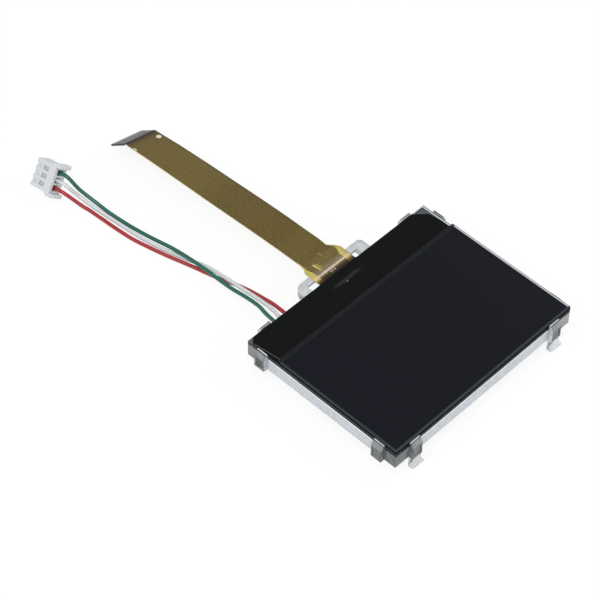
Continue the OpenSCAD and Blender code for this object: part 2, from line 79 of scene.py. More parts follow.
def finish(name, colour, roughness, grain=2500, mottle=0.08, relief=0.02, **sockets):
    """A moulded or coated finish: colour mottled by a fine grain, which is its bump too."""
    material = bpy.data.materials.new(name)
    material.use_nodes = True
    nodes = material.node_tree.nodes
    links = material.node_tree.links
    shader = nodes["Principled BSDF"]
    place = nodes.new("ShaderNodeTexCoord")
    noise = nodes.new("ShaderNodeTexNoise")
    noise.inputs["Scale"].default_value = grain
    noise.inputs["Detail"].default_value = 3
    links.new(place.outputs["Object"], noise.inputs["Vector"])
    ramp = nodes.new("ShaderNodeValToRGB")
    ramp.color_ramp.elements[0].position = 0.3
    ramp.color_ramp.elements[1].position = 0.7
    ramp.color_ramp.elements[0].color = (*[c * (1 - mottle) for c in colour[:3]], 1)
    ramp.color_ramp.elements[1].color = (*[min(1, c * (1 + mottle)) for c in colour[:3]], 1)
    links.new(noise.outputs["Fac"], ramp.inputs["Fac"])
    links.new(ramp.outputs["Color"], shader.inputs["Base Color"])
    bump = nodes.new("ShaderNodeBump")
    bump.inputs["Strength"].default_value = relief
    bump.inputs["Distance"].default_value = 0.0001
    links.new(noise.outputs["Fac"], bump.inputs["Height"])
    links.new(bump.outputs["Normal"], shader.inputs["Normal"])
    shader.inputs["Roughness"].default_value = roughness
    for key, value in sockets.items():
        shader.inputs[key.replace("_", " ")].default_value = value
    return material


wire_across = 0.001
wire_pitch = 0.0018
lead_middle = -0.018
solder_out = -0.0004
pole_pitch = 0.002
crimp_in = 0.0019
lead_level = 0.00655
glass_low, glass_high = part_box("rear_glass")
tail_edge = glass_high.y

plug_wide, plug_long, plug_thick = 0.0072, 0.0079, 0.0039
plug_dip = math.radians(12)
plug_roll = math.radians(50)
plug_level = (
    plug_wide / 2 * math.sin(plug_roll) * math.cos(plug_dip)
    + plug_long * math.sin(plug_dip)
    + plug_thick / 2 * math.cos(plug_roll) * math.cos(plug_dip)
)
plug_place = (
    Matrix.Translation((-0.0246, tail_edge + 0.0705, plug_level))
    @ Matrix.Rotation(math.radians(1), 4, "Z")
    @ Matrix.Rotation(-plug_dip, 4, "X")
    @ Matrix.Rotation(-plug_roll, 4, "Y")
)

green_course = [
    (-0.0018, 0.001, 0.0065), (-0.001, 0.005, 0.0057), (0.0, 0.0085, 0.0048),
    (0.0005, 0.013, 0.0037), (0.0006, 0.0185, 0.0026), (0.0007, 0.024, 0.0022),
    (0.0007, 0.029, 0.002), (0.0005, 0.034, 0.0018), (0.0001, 0.039, 0.0014),
    (-0.0007, 0.045, 0.0008), (-0.0015, 0.0515, 0.0005), (-0.0021, 0.0575, 0.0006),
    (-0.0026, 0.0625, 0.0014), (-0.0038, 0.067, 0.0036),
]
white_course = [
    (0.0, 0.001, 0.0065), (0.0009, 0.005, 0.0058), (0.0015, 0.0085, 0.0049),
    (0.0019, 0.0135, 0.0037), (0.0021, 0.0185, 0.0028), (0.0022, 0.0235, 0.002),
    (0.0021, 0.0285, 0.0011), (0.001, 0.033, 0.0006), (-0.0003, 0.0375, 0.0005),
    (-0.0014, 0.042, 0.0005), (-0.0023, 0.0475, 0.0005), (-0.0029, 0.054, 0.0005),
    (-0.0035, 0.0605, 0.0007), (-0.0046, 0.0665, 0.0022),
]
red_course = [
    (0.0018, 0.001, 0.0065), (0.0026, 0.006, 0.0052), (0.003, 0.01, 0.0039),
    (0.0031, 0.015, 0.0026), (0.0027, 0.019, 0.0017), (0.0019, 0.023, 0.0009),
    (0.0009, 0.028, 0.0005), (-0.0004, 0.033, 0.0005), (-0.0018, 0.038, 0.0005),
    (-0.003, 0.043, 0.0005), (-0.004, 0.048, 0.0005), (-0.0045, 0.0535, 0.0005),
    (-0.0048, 0.059, 0.0005), (-0.0054, 0.064, 0.0008),
]


def wire_points(course, turn, entry):
    """A wire's whole route, from its solder joint to its crimp in the plug."""
    points = [Vector((lead_middle + turn * wire_pitch, tail_edge + solder_out, lead_level))]
    points += [Vector((lead_middle + x, tail_edge + y, z)) for x, y, z in course]
    points += [plug_place @ Vector((-turn * pole_pitch, y, 0)) for y in (-entry, crimp_in)]
    return points


def lead_wire(name, node, points, material):
    """A round wire on one smooth curve, resting on the surface where it reaches it."""
    curve = bpy.data.curves.new(name, "CURVE")
    curve.dimensions = "3D"
    curve.bevel_depth = wire_across / 2
    curve.bevel_resolution = 5
    curve.resolution_u = 10
    curve.use_fill_caps = True
    line = curve.splines.new("BEZIER")
    line.bezier_points.add(len(points) - 1)
    for i, knot in enumerate(line.bezier_points):
        before = points[i - 1] if i > 0 else 2 * points[0] - points[1]
        after = points[i + 1] if i < len(points) - 1 else 2 * points[-1] - points[-2]
        reach = (after - before) / 6
        knot.co = points[i]
        knot.handle_left = points[i] - reach
        knot.handle_right = points[i] + reach
        for handle in (knot.handle_left, knot.handle_right):
            handle.z = max(handle.z, wire_across / 2)
    curve.materials.append(material)
    piece = bpy.data.objects.new(name, curve)
    bpy.context.collection.objects.link(piece)
    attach(piece, "root")
    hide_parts(node)


green_pvc = finish("green_pvc", linear(27, 94, 78), 0.36, grain=3000)
white_pvc = finish("white_pvc", linear(204, 208, 210), 0.4, grain=3000, mottle=0.03)
red_pvc = finish("red_pvc", linear(158, 40, 42), 0.36, grain=3000)
lead_wire("green_lead", "green_wire", wire_points(green_course, -1, entry=0.0015),
          green_pvc)
lead_wire("white_lead", "white_wire", wire_points(white_course, 0, entry=0.0015),
          white_pvc)
lead_wire("red_lead", "red_wire", wire_points(red_course, 1, entry=0.002), red_pvc)


# --------------------------------------------------------------- crimp plug
# Injection-moulded natural nylon housing: three cavities with a window over
# each contact's lance.  The contacts are stamped and tinned bronze.
def softened(node, name, radius, material, rim=None, painted_light_of_face=None, cut=None):
    """A copy of a CAD solid with its sharp edges rounded, standing for that solid."""
    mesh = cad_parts[node].data.copy()
    shape = bmesh.new()
    shape.from_mesh(mesh)
    bmesh.ops.remove_doubles(shape, verts=shape.verts, dist=1e-6)
    bmesh.ops.dissolve_limit(
        shape, angle_limit=math.radians(1), verts=shape.verts, edges=shape.edges
    )
    if cut:
        bmesh.ops.bisect_plane(
            shape, geom=shape.verts[:] + shape.edges[:] + shape.faces[:],
            plane_co=(0, 0, cut), plane_no=(0, 0, 1),
        )
    shape.to_mesh(mesh)
    shape.free()
    mesh.materials.clear()
    mesh.materials.append(material)
    if painted_light_of_face:
        layer = mesh.attributes.new("painted_light", "FLOAT", "FACE")
        values = [painted_light_of_face(face.center, face.normal) for face in mesh.polygons]
        layer.data.foreach_set("value", values)
    piece = bpy.data.objects.new(name, mesh)
    bpy.context.collection.objects.link(piece)
    edge = piece.modifiers.new("rounded_edges", "BEVEL")
    edge.width = radius
    edge.segments = 2
    edge.limit_method = "ANGLE"
    edge.angle_limit = math.radians(35)
    edge.use_clamp_overlap = True
    edge.loop_slide = False
    edge.harden_normals = True
    if rim:
        mesh.materials.append(rim)
        edge.material = 1
    for face in mesh.polygons:
        face.use_smooth = True
    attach(piece, "root")
    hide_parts(node)


def coat(node, material):
    """Gives a CAD solid its finish."""
    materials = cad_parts[node].data.materials
    for i in range(len(materials)):
        materials[i] = material


nylon = finish("plug_nylon", linear(204, 207, 210), 0.45, grain=1400, mottle=0.03)
coat("connector_housing", nylon)
tinned_bronze = finish("tinned_bronze", linear(214, 213, 208), 0.45, Metallic=0.15)


def plain_piece(name, mesh, material, replaced=None):
    """Links a finished mesh as a piece of the module."""
    mesh.materials.append(material)
    piece = bpy.data.objects.new(name, mesh)
    bpy.context.collection.objects.link(piece)
    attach(piece, "root")
    if replaced:
        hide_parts(replaced)
    return piece


def contact_spring(name, pole, material):
    """The flat tongue of one contact, seen just inside its window in the housing."""
    low, high = Vector((-0.0005, 0.00345, 0.0014)), Vector((0.0005, 0.00525, 0.00152))
    shape = bmesh.new()
    bmesh.ops.create_cube(shape, size=1)
    for corner in shape.verts:
        place = [low[i] + (high[i] - low[i]) * (corner.co[i] + 0.5) for i in range(3)]
        place[0] += pole * pole_pitch
        corner.co = plug_place @ Vector(place)
    mesh = bpy.data.meshes.new(name)
    shape.to_mesh(mesh)
    shape.free()
    plain_piece(name, mesh, material)


spring_tin = finish("spring_tin", linear(188, 190, 192), 0.5, Metallic=0.1)
for colour, pole in (("green", 1), ("white", 0), ("red", -1)):
    coat(colour + "_terminal", tinned_bronze)
    contact_spring(colour + "_spring", pole, spring_tin)


# ------------------------------------------------------- backlight moulding
# Light guide, glass clips, snap legs and flex bracket are one piece of clear
# moulded plastic.  How pale or dark each face is drawn is painted light and shade.
guide_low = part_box("led_board")[0].z
guide_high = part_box("rear_polarizer")[0].z
lip_rise = 0.0013
lip_top = guide_high + lip_rise
front_edge = glass_low.y
side_edge = glass_high.x
mid_glass = (front_edge + tail_edge) / 2
touching = 0.00002
tail_zone = 0.01
bracket_half = 0.0125
clip_reach = 0.0011
tail_clip_at, side_clip_at = 0.024, 0.0185
corner_skin = 0.00018


def moulding_painted_light(centre, normal):
    """Painted light and shade: how pale one face of the moulding is drawn.  The steps from side
    to side are given one by one.
    """
    x, y, z = centre
    beside = abs(x) - side_edge
    before, behind = front_edge - y, y - tail_edge
    outside = max(beside, before, behind)
    by_tail = behind > -tail_zone
    if z < guide_low and outside > 0:
        return 0.97
    if behind > touching and abs(x) < bracket_half:
        inward = normal.y < -0.9 or normal.x * x < -0.001
        return 1.0 if inward else 0.86 if normal.z > 0.9 else 0.7
    if outside > touching:
        if normal.z > 0.9 and z > lip_top - 0.0001:
            return 0.58 if x > side_edge else 1.0
        if z > lip_top - 0.0003:
            return 0.05 if by_tail else 0.4
        if normal.z > 0.2:
            return 0.62
        across = abs(normal.y) if beside > max(before, behind) else abs(normal.x)
        recess = outside > clip_reach and across > 0.9 or abs(normal.z) > 0.9
        if recess:
            return 0.7 if by_tail else 0.42
        if across > 0.9:
            return 0.88 if by_tail or x > 0 else 0.46
        if by_tail:
            return 0.14 if 0.001 < outside < 0.0012 else 0.5
        return 0.38
    past_clips = min(abs(x) - tail_clip_at, abs(y - mid_glass) - side_clip_at)
    if outside > -corner_skin and past_clips < 0:
        return 0.95
    return 0.66 if x > 0 else 0.45


def clear_moulding():
    """Partly clear plastic, faintly blotched, whose paleness face by face is painted light and
    shade.
    """
    material = finish("clear_moulding", linear(236, 241, 244), 0.2, grain=2200,
                      mottle=0.015, relief=0.05, IOR=1.49)
    nodes = material.node_tree.nodes
    links = material.node_tree.links
    shader = nodes["Principled BSDF"]
    painted_light = nodes.new("ShaderNodeAttribute")
    painted_light.attribute_name = "painted_light"
    blotch = nodes.new("ShaderNodeTexNoise")
    blotch.inputs["Scale"].default_value = 650
    blotch.inputs["Detail"].default_value = 2
    place = nodes.new("ShaderNodeTexCoord")
    links.new(place.outputs["Object"], blotch.inputs["Vector"])
    swing = nodes.new("ShaderNodeMapRange")
    swing.inputs["From Min"].default_value = 0.3
    swing.inputs["From Max"].default_value = 0.7
    swing.inputs["To Min"].default_value = -0.07
    swing.inputs["To Max"].default_value = 0.07
    links.new(blotch.outputs["Fac"], swing.inputs["Value"])
    mixed = nodes.new("ShaderNodeMath")
    links.new(painted_light.outputs["Fac"], mixed.inputs[0])
    links.new(swing.outputs["Result"], mixed.inputs[1])
    # Painted light and shade: each face's value picks its colour from near black to near white.
    shades = nodes.new("ShaderNodeValToRGB")
    shades.color_ramp.elements[0].color = linear(20, 22, 22)
    shades.color_ramp.elements[1].color = linear(238, 242, 246)
    middle = shades.color_ramp.elements.new(0.45)
    middle.color = linear(118, 122, 124)
    links.new(mixed.outputs[0], shades.inputs["Fac"])
    links.new(shades.outputs["Color"], shader.inputs["Base Color"])
    shader.inputs["Transmission Weight"].default_value = 0.4
    return material


softened("backlight_housing", "clear_backlight", 0.00005, clear_moulding(),
         painted_light_of_face=moulding_painted_light, cut=guide_low)


def strip_on(name, outline, level, thick, material):
    """A thin flat strip with a closed skin, lying on a plane face at one level."""
    shape = bmesh.new()
    low = [shape.verts.new((x, tail_edge + y, level)) for x, y in outline]
    high = [shape.verts.new((x, tail_edge + y, level + thick)) for x, y in outline]
    shape.faces.new(low[::-1])
    shape.faces.new(high)
    for i in range(len(outline)):
        j = (i + 1) % len(outline)
        shape.faces.new((low[i], low[j], high[j], high[i]))
    mesh = bpy.data.meshes.new(name)
    shape.to_mesh(mesh)
    shape.free()
    plain_piece(name, mesh, material)


def lip_shade_line(name, corners, material):
    """A painted shade line along one edge of a lip.  Only the tail and right lips have one."""
    (x0, y0), (x1, y1) = corners
    strip_on(name, [(x0, y0), (x1, y0), (x1, y1), (x0, y1)], lip_top, lip_shade_thick,
             material)


# Painted shade: dark lines laid on the tail and right lip tops.
lip_shade = finish("lip_shade", linear(48, 50, 52), 0.35, mottle=0.1, Specular_IOR_Level=0.1)
lip_shade_thick = 0.00012
clip_half = 0.0015
for i, x in enumerate((-tail_clip_at, tail_clip_at)):
    lip_shade_line("tail_lip_shade_%d" % i,
               ((x - clip_half, 0.00020), (x + clip_half, 0.00040)), lip_shade)
side_clips = (-0.0049, -0.0419)
for i, y in enumerate(side_clips):
    lip_shade_line("side_lip_shade_%d" % i, (
        (side_edge + 0.00026, y - clip_half), (side_edge + 0.00038, y + clip_half),
    ), lip_shade)

# Painted highlight: near-white lines along the reflectors' upper rim, on the left and front
# sides only.
rim_highlight = finish("rim_highlight", linear(244, 246, 248), 0.4, mottle=0.03)
rim_out = 0.00003
rim_drop, rim_high = 0.00028, 0.00026
rim_front = front_edge - tail_edge
for name, low, high in (
    ("left_rim_highlight", (-side_edge - rim_out, -0.0398), (-side_edge, -0.0070)),
    ("front_rim_highlight", (-0.0219, rim_front - rim_out), (0.0219, rim_front)),
):
    strip_on(name, [low, (high[0], low[1]), high, (low[0], high[1])], guide_high - rim_drop,
             rim_high, rim_highlight)

white_film = finish("white_film", linear(192, 198, 203), 0.5, grain=900, mottle=0.09)
for node in ("front_reflector", "left_reflector", "right_reflector", "rear_reflector"):
    coat(node, white_film)
coat("diffuser_film", finish("milky_film", linear(228, 231, 234), 0.6))


# ------------------------------------------------------------- lamp strip
# A narrow board in the tail side with side-firing lamps, their faces filled
# with phosphor, and three hand-soldered joints.
coat("led_board", finish("solder_mask", linear(30, 92, 52), 0.35))
coat("leds", finish("phosphor", linear(235, 222, 130), 0.5))
coat("solder_joints", finish("solder", linear(190, 192, 196), 0.25, Metallic=1.0))


# ----------------------------------------------------------- display cell
# Two soda-lime plates glued by a seal, with a polarizer on each face.  The
# black adhesive frame under them holds the cell on the backlight.
def plate_glass(name, top, sides, gloss):
    """Dark glass with painted light: a paler upper face as a painted reflection and dark sides
    as painted shade.
    """
    material = finish(name, linear(*top), 0.15, mottle=0.02, relief=0.0, IOR=1.52,
                      Specular_IOR_Level=gloss)
    nodes = material.node_tree.nodes
    links = material.node_tree.links
    level = nodes.new("ShaderNodeAttribute")
    level.attribute_name = "painted_light"
    blend = nodes.new("ShaderNodeMix")
    blend.data_type = "RGBA"
    blend.inputs["A"].default_value = linear(*sides)
    blend.inputs["B"].default_value = linear(*top)
    links.new(level.outputs["Fac"], blend.inputs["Factor"])
    links.new(blend.outputs["Result"], nodes["Principled BSDF"].inputs["Base Color"])
    return material


def plate_painted_light(centre, normal):
    """Painted light: one for an upper face, a little for the left side below the ledge and
    nothing for the rest.
    """
    if normal.z > 0.9:
        return 1.0
    return 0.4 if normal.x < -0.9 and centre.z < ledge_level else 0.0


ledge_level = glass_high.z
# Both plates carry painted light by face: pale tops, dark sides and a partly lit left side.
softened("rear_glass", "rear_plate", 0.00005,
         plate_glass("contact_glass", (84, 88, 90), (6, 7, 10), 0.03), painted_light_of_face=plate_painted_light)
softened("front_glass", "front_plate", 0.00005,
         plate_glass("cover_glass", (60, 64, 68), (5, 6, 9), 0.0), painted_light_of_face=plate_painted_light)
coat("light_mask_frame",
     finish("black_adhesive", linear(10, 11, 13), 0.6, Specular_IOR_Level=0.1))
coat("rear_polarizer", finish("rear_film", linear(48, 50, 58), 0.3))
coat("cell_seal", finish("epoxy_seal", linear(96, 104, 110), 0.4))
coat("liquid_crystal", finish("liquid_crystal", linear(40, 42, 52), 0.25))
# The polarizer's rounded rim is painted paler: a painted highlight along its edges.
softened(
    "front_polarizer", "top_polarizer", 0.00009,
    finish("polarizer_film", linear(20, 22, 29), 0.35, grain=5000, mottle=0.03,
           relief=0.01, Specular_IOR_Level=0.08),
    rim=finish("polarizer_rim_highlight", linear(60, 64, 70), 0.2, mottle=0.05, Specular_IOR_Level=0.15),
)


film_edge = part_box("front_polarizer")[1]
cell_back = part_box("front_glass")[1].y - tail_edge
cell_front = front_edge - tail_edge
face_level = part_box("front_glass")[1].z
film_back = film_edge.y - tail_edge
# Painted highlight and painted shade: light and dark strips that stand for the lines seen along
# the glass edges.
edge_highlight = finish("edge_highlight", linear(208, 211, 214), 0.3, mottle=0.06)
margin_shade = finish("margin_shade", linear(10, 11, 14), 0.3, mottle=0.05,
                      Specular_IOR_Level=0.1)
# A reversed outline runs clockwise, so the strip on it faces inwards.
strip_on("polarizer_edge_highlight", [
    (film_edge.x + 0.00002, film_back), (film_edge.x + 0.00002, cell_front + 0.0005),
    (film_edge.x + 0.00026, cell_front + 0.0005), (film_edge.x + 0.00026, film_back),
][::-1], face_level, 0.00017, edge_highlight)
strip_on("side_margin_shade", [
    (side_edge - 0.00018, cell_back - 0.0001), (side_edge - 0.00018, cell_front + 0.0001),
    (side_edge - 0.00001, cell_front + 0.0001), (side_edge - 0.00001, cell_back - 0.0001),
][::-1], face_level, 0.00017, margin_shade)
# Painted shade: a dark band on the glass between the polarizer and the ledge.
strip_on("seam_margin_shade", [
    (-side_edge + 0.0001, cell_back - 0.0001), (-side_edge + 0.0001, film_back + 0.0001),
    (side_edge - 0.0006, film_back + 0.0001), (side_edge - 0.0006, cell_back - 0.0001),
], face_level, 0.00002,
    finish("seam_shade", linear(24, 26, 29), 0.4, mottle=0.15, Specular_IOR_Level=0.1))


# ------------------------------------------------------------ contact ledge
# The driver chip sits bare on the ledge, and a strip of black tape covers
# it, rising over the chip and over the circuit's bonded head.
coat("driver_chip", finish("silicon", linear(70, 72, 84), 0.2, Metallic=0.4))
tape_thick = 0.0001
tape_columns, tape_rows = 150, 30
chip_half, chip_near, chip_far, chip_rise = 0.0048, -0.0035, -0.0023, 0.0003
head_half, head_near, head_rise = 0.006125, -0.0015, 0.0002
chip_run, head_run = 0.0011, 0.0008
left_end, left_turn = -0.02985, -0.0015
right_end, right_turn = 0.02885, -0.003
# Where the painted sheen line and the painted glint spot lie over the chip.
sheen_line_at, sheen_line_half, sheen_line_share = -0.0033, 0.0030, 0.13
glint_x, glint_y, glint_wide = -0.0007, -0.0039, 0.0003


def eased(distance, run):
    """One at a block's wall, falling smoothly to nothing over a run."""
    share = min(max(1 - distance / run, 0), 1)
    return share * share * (3 - 2 * share)


def drape(x, y):
    """How far the tape is lifted off the glass by the chip and the circuit's head."""
    by_chip = math.hypot(max(abs(x) - chip_half, 0), max(chip_near - y, y - chip_far, 0))
    by_head = math.hypot(max(abs(x) - head_half, 0), max(head_near - y, 0))
    return max(chip_rise * eased(by_chip, chip_run), head_rise * eased(by_head, head_run))


def tape_ends(y):
    """Where the two skew-cut ends of the tape lie at a distance from the glass edge."""
    if y > left_turn:
        left = left_end + (y - left_turn) / 0.00135 * 0.0015
    else:
        left = left_end - (y - left_turn) / 0.008 * 0.001
    if y > right_turn:
        right = right_end - (y - right_turn) / 0.00285 * 0.003
    else:
        right = right_end - (y - right_turn) / 0.0065 * 0.001
    return left, right


def tape_mesh():
    """A thin sheet draped over the ledge, with a painted sheen line and a painted highlight spot
    over the chip marked.
    """
    shape = bmesh.new()
    above, below, sheen_values = [], [], []
    near = cell_back + 0.00002
    for j in range(tape_rows + 1):
        y = near + (-0.00015 - near) * j / tape_rows
        left, right = tape_ends(y)
        upper, lower = [], []
        for k in range(tape_columns + 1):
            x = left + (right - left) * k / tape_columns
            lift = drape(x, y)
            # Painted sheen along a line over the chip, and a painted glint spot.
            line = (eased(abs(y - sheen_line_at), 0.0007)
                    * eased(max(abs(x) - sheen_line_half, 0), 0.0024))
            spot = eased(math.hypot(x - glint_x, y - glint_y), glint_wide)
            sheen_here = max(sheen_line_share * line, spot)
            for row, level in ((upper, tape_thick), (lower, 0)):
                row.append(shape.verts.new((x, tail_edge + y, ledge_level + lift + level)))
                sheen_values.append(sheen_here)
        above.append(upper)
        below.append(lower)
    for a, b in zip(range(tape_rows), range(1, tape_rows + 1)):
        for k in range(tape_columns):
            shape.faces.new((above[a][k], above[a][k + 1], above[b][k + 1], above[b][k]))
            shape.faces.new((below[a][k], below[b][k], below[b][k + 1], below[a][k + 1]))
        shape.faces.new((below[a][0], above[a][0], above[b][0], below[b][0]))
        shape.faces.new((below[a][-1], below[b][-1], above[b][-1], above[a][-1]))
    for k in range(tape_columns):
        shape.faces.new((below[0][k], below[0][k + 1], above[0][k + 1], above[0][k]))
        shape.faces.new((below[-1][k], above[-1][k], above[-1][k + 1], below[-1][k + 1]))
    mesh = bpy.data.meshes.new("black_tape")
    shape.to_mesh(mesh)
    shape.free()
    layer = mesh.attributes.new("painted_sheen", "FLOAT", "POINT")
    layer.data.foreach_set("value", sheen_values)
    for face in mesh.polygons:
        face.use_smooth = abs(face.normal.z) > 0.5
    return mesh


def tape_finish():
    """Black polyester tape with a painted sheen line and a painted highlight spot over the chip.
    """
    material = finish("black_tape", linear(14, 15, 15), 0.55, grain=1500, mottle=0.12,
                      relief=0.1, Specular_IOR_Level=0.07)
    nodes = material.node_tree.nodes
    links = material.node_tree.links
    sheen_amount = nodes.new("ShaderNodeAttribute")
    sheen_amount.attribute_name = "painted_sheen"
    grain = nodes.new("ShaderNodeTexNoise")
    grain.inputs["Scale"].default_value = 900
    place = nodes.new("ShaderNodeTexCoord")
    links.new(place.outputs["Object"], grain.inputs["Vector"])
    share = nodes.new("ShaderNodeMath")
    share.operation = "MULTIPLY"
    links.new(sheen_amount.outputs["Fac"], share.inputs[0])
    links.new(grain.outputs["Fac"], share.inputs[1])
    blend = nodes.new("ShaderNodeMix")
    blend.data_type = "RGBA"
    blend.inputs["A"].default_value = linear(14, 15, 15)
    blend.inputs["B"].default_value = linear(150, 152, 150)
    links.new(share.outputs[0], blend.inputs["Factor"])
    links.new(blend.outputs["Result"], nodes["Principled BSDF"].inputs["Base Color"])
    return material


plain_piece("black_tape", tape_mesh(), tape_finish(), "ledge_tape")
# Painted highlight and painted shade: a light line and a dark line along the ledge's right and
# tail edges, and a dark band on its left margin.
strip_on("ledge_side_highlight", [
    (0.02945, -0.0001), (0.02945, cell_back + 0.00005),
    (0.02974, cell_back + 0.00005), (0.02974, -0.0001),
][::-1], ledge_level, 0.00011, edge_highlight)
strip_on("ledge_side_shade", [
    (0.02976, -0.0001), (0.02976, cell_back + 0.00005),
    (0.02998, cell_back + 0.00005), (0.02998, -0.0001),
][::-1], ledge_level, 0.00011,
    finish("ledge_shade", linear(66, 69, 72), 0.4, mottle=0.1, Specular_IOR_Level=0.1))
strip_on("ledge_tail_highlight", [
    (0.0262, -0.00034), (0.02945, -0.00034), (0.02945, -0.00009), (0.0262, -0.00009),
], ledge_level, 0.00003, edge_highlight)
strip_on("ledge_tail_shade", [
    (0.0266, -0.00062), (0.02945, -0.00062), (0.02945, -0.00034), (0.0266, -0.00034),
], ledge_level, 0.00002, margin_shade)
strip_on("ledge_left_shade", [
    (-0.02997, cell_back + 0.0001), (-0.02890, cell_back + 0.0001),
    (-0.02988, -0.0015), (-0.02997, -0.0015),
][::-1], ledge_level, 0.00003, margin_shade)
# Painted highlight: a grey line along the tape's left edge.
strip_on("tape_left_highlight", [
    (-0.02880, cell_back + 0.0001), (-0.02866, cell_back + 0.0001),
    (-0.02962, -0.0017), (-0.02976, -0.0017),
], ledge_level + tape_thick, 0.00002,
    finish("tape_edge_highlight", linear(84, 88, 88), 0.4, mottle=0.1))


# --------------------------------------------------------- flexible circuit
# Amber polyimide film with copper tracks under a coverlay.  The head is
# bonded to the glass, the strip lies over the bracket's bar and twists as it
# falls, and the creased end is stiffened and tinned.
film_thick = 0.0002
bond_long = 0.0015
bar_far = 0.0036
strip_wide = 0.0105
slim_wide = 0.0089
taper_near, taper_long = 0.015, 0.045
taper_aside = 0.38
head_wide = 0.01225
shoulder_near, shoulder_far = bar_far + 0.0011, bar_far + 0.0041
strip_reach = 0.065
end_long = 0.0053
end_drop = math.radians(34)
end_roll = math.radians(13.5)
strip_drop = math.radians(8)
crease_radius = 0.0006
stiffener_thick = 0.00025

end_level = (
    strip_wide / 2 * math.sin(end_roll)
    + (end_long * math.sin(end_drop) + stiffener_thick * math.cos(end_drop))
    * math.cos(end_roll)
)
crease_fall = crease_radius * (math.cos(strip_drop) - math.cos(end_drop))
strip_end_level = end_level + crease_fall * math.cos(end_roll)

# share of the reach, sideways offset, share of the height left, roll in degrees
strip_course = [
    (0.00, 0.0, 1.00, 0.0),
    (0.10, 0.0002, 1.00, -4.0),
    (0.25, 0.0003, 0.89, -2.5),
    (0.40, 0.00035, 0.73, 0.5),
    (0.55, 0.00035, 0.56, 4.0),
    (0.70, 0.0004, 0.39, 7.5),
    (0.85, 0.0004, 0.21, 11.0),
    (1.00, 0.00045, 0.00, 13.5),
]


def leaned(vector, roll):
    """A vector turned about the length of the circuit: positive lowers its right side."""
    x, y, z = vector
    return Vector((
        x * math.cos(roll) + z * math.sin(roll), y, z * math.cos(roll) - x * math.sin(roll)
    ))


def smooth_course(steps):
    """Points of the strip's course as (x, y, z, roll), y from the glass edge."""
    knots = [
        Vector((side, bar_far + share * strip_reach,
                strip_end_level + (ledge_level - strip_end_level) * rise, math.radians(roll)))
        for share, side, rise, roll in strip_course
    ]
    knots = [2 * knots[0] - knots[1], *knots, 2 * knots[-1] - knots[-2]]
    course = []
    for a, b, c, d in zip(knots, knots[1:], knots[2:], knots[3:]):
        for k in range(steps):
            t = k / steps
            course.append((
                2 * b + (c - a) * t + (2 * a - 5 * b + 4 * c - d) * t ** 2
                + (3 * b - a - 3 * c + d) * t ** 3
            ) / 2)
    return course + [knots[-2]]


def film_width(y):
    """Width of the film: two round shoulders, a slim neck and a slow widening from there."""
    share = min(max((y - shoulder_near) / (shoulder_far - shoulder_near), 0), 1)
    spread = min(max((y - taper_near) / taper_long, 0), 1)
    wide = slim_wide + (strip_wide - slim_wide) * spread
    return wide + (head_wide - wide) * math.sqrt(1 - share ** 2) * (1 - share)


def film_stations():
    """Sections of the film: (middle of the underside, pitch, roll, width, distance)."""
    stations = [(Vector((0, -bond_long, ledge_level)), 0.0, 0.0, head_wide, -bond_long)]
    course = smooth_course(24)
    for i, here in enumerate(course):
        before, after = course[max(i - 1, 0)], course[min(i + 1, len(course) - 1)]
        pitch = math.atan2(before.z - after.z, after.y - before.y)
        if i == 0:
            pitch = 0.0
        elif i == len(course) - 1:
            pitch = strip_drop
        aside = taper_aside * max(strip_wide - film_width(here.y), 0)
        stations.append((
            Vector((here.x - aside, here.y, here.z)), pitch, here.w, film_width(here.y), here.y
        ))
    start = stations[-1][0]
    crease_steps = 8
    for k in range(1, crease_steps + 1):
        angle = strip_drop + (end_drop - strip_drop) * k / crease_steps
        run = crease_radius * (math.sin(angle) - math.sin(strip_drop))
        fall = crease_radius * (math.cos(strip_drop) - math.cos(angle))
        stations.append((
            start + leaned((0, run, -fall), end_roll), angle, end_roll, strip_wide,
            start.y + run
        ))
    root = stations[-1][0]
    for share in (0.25, 0.5, 0.75, 1.0):
        out = end_long * share
        place = root + leaned((0, out * math.cos(end_drop), -out * math.sin(end_drop)), end_roll)
        stations.append((place, end_drop, end_roll, strip_wide, root.y + out))
    return stations


def station_axes(pitch, roll):
    """Directions across the film and out of its upper face."""
    return leaned((1, 0, 0), roll), leaned((0, math.sin(pitch), math.cos(pitch)), roll)


stations = film_stations()
crease_at = bar_far + strip_reach
track_count = 20
bundle_near, bundle_long = 0.0026, 0.0050
bundle_neck, bundle_trim = 0.0041, 0.00435


def bundle_half(y):
    """Half the width that the tracks take up: they close in towards the glass."""
    share = min(max((y - bundle_near) / bundle_long, 0), 1)
    widening = film_width(y) / 2 - bundle_trim
    return bundle_neck + widening * share * share * (3 - 2 * share)


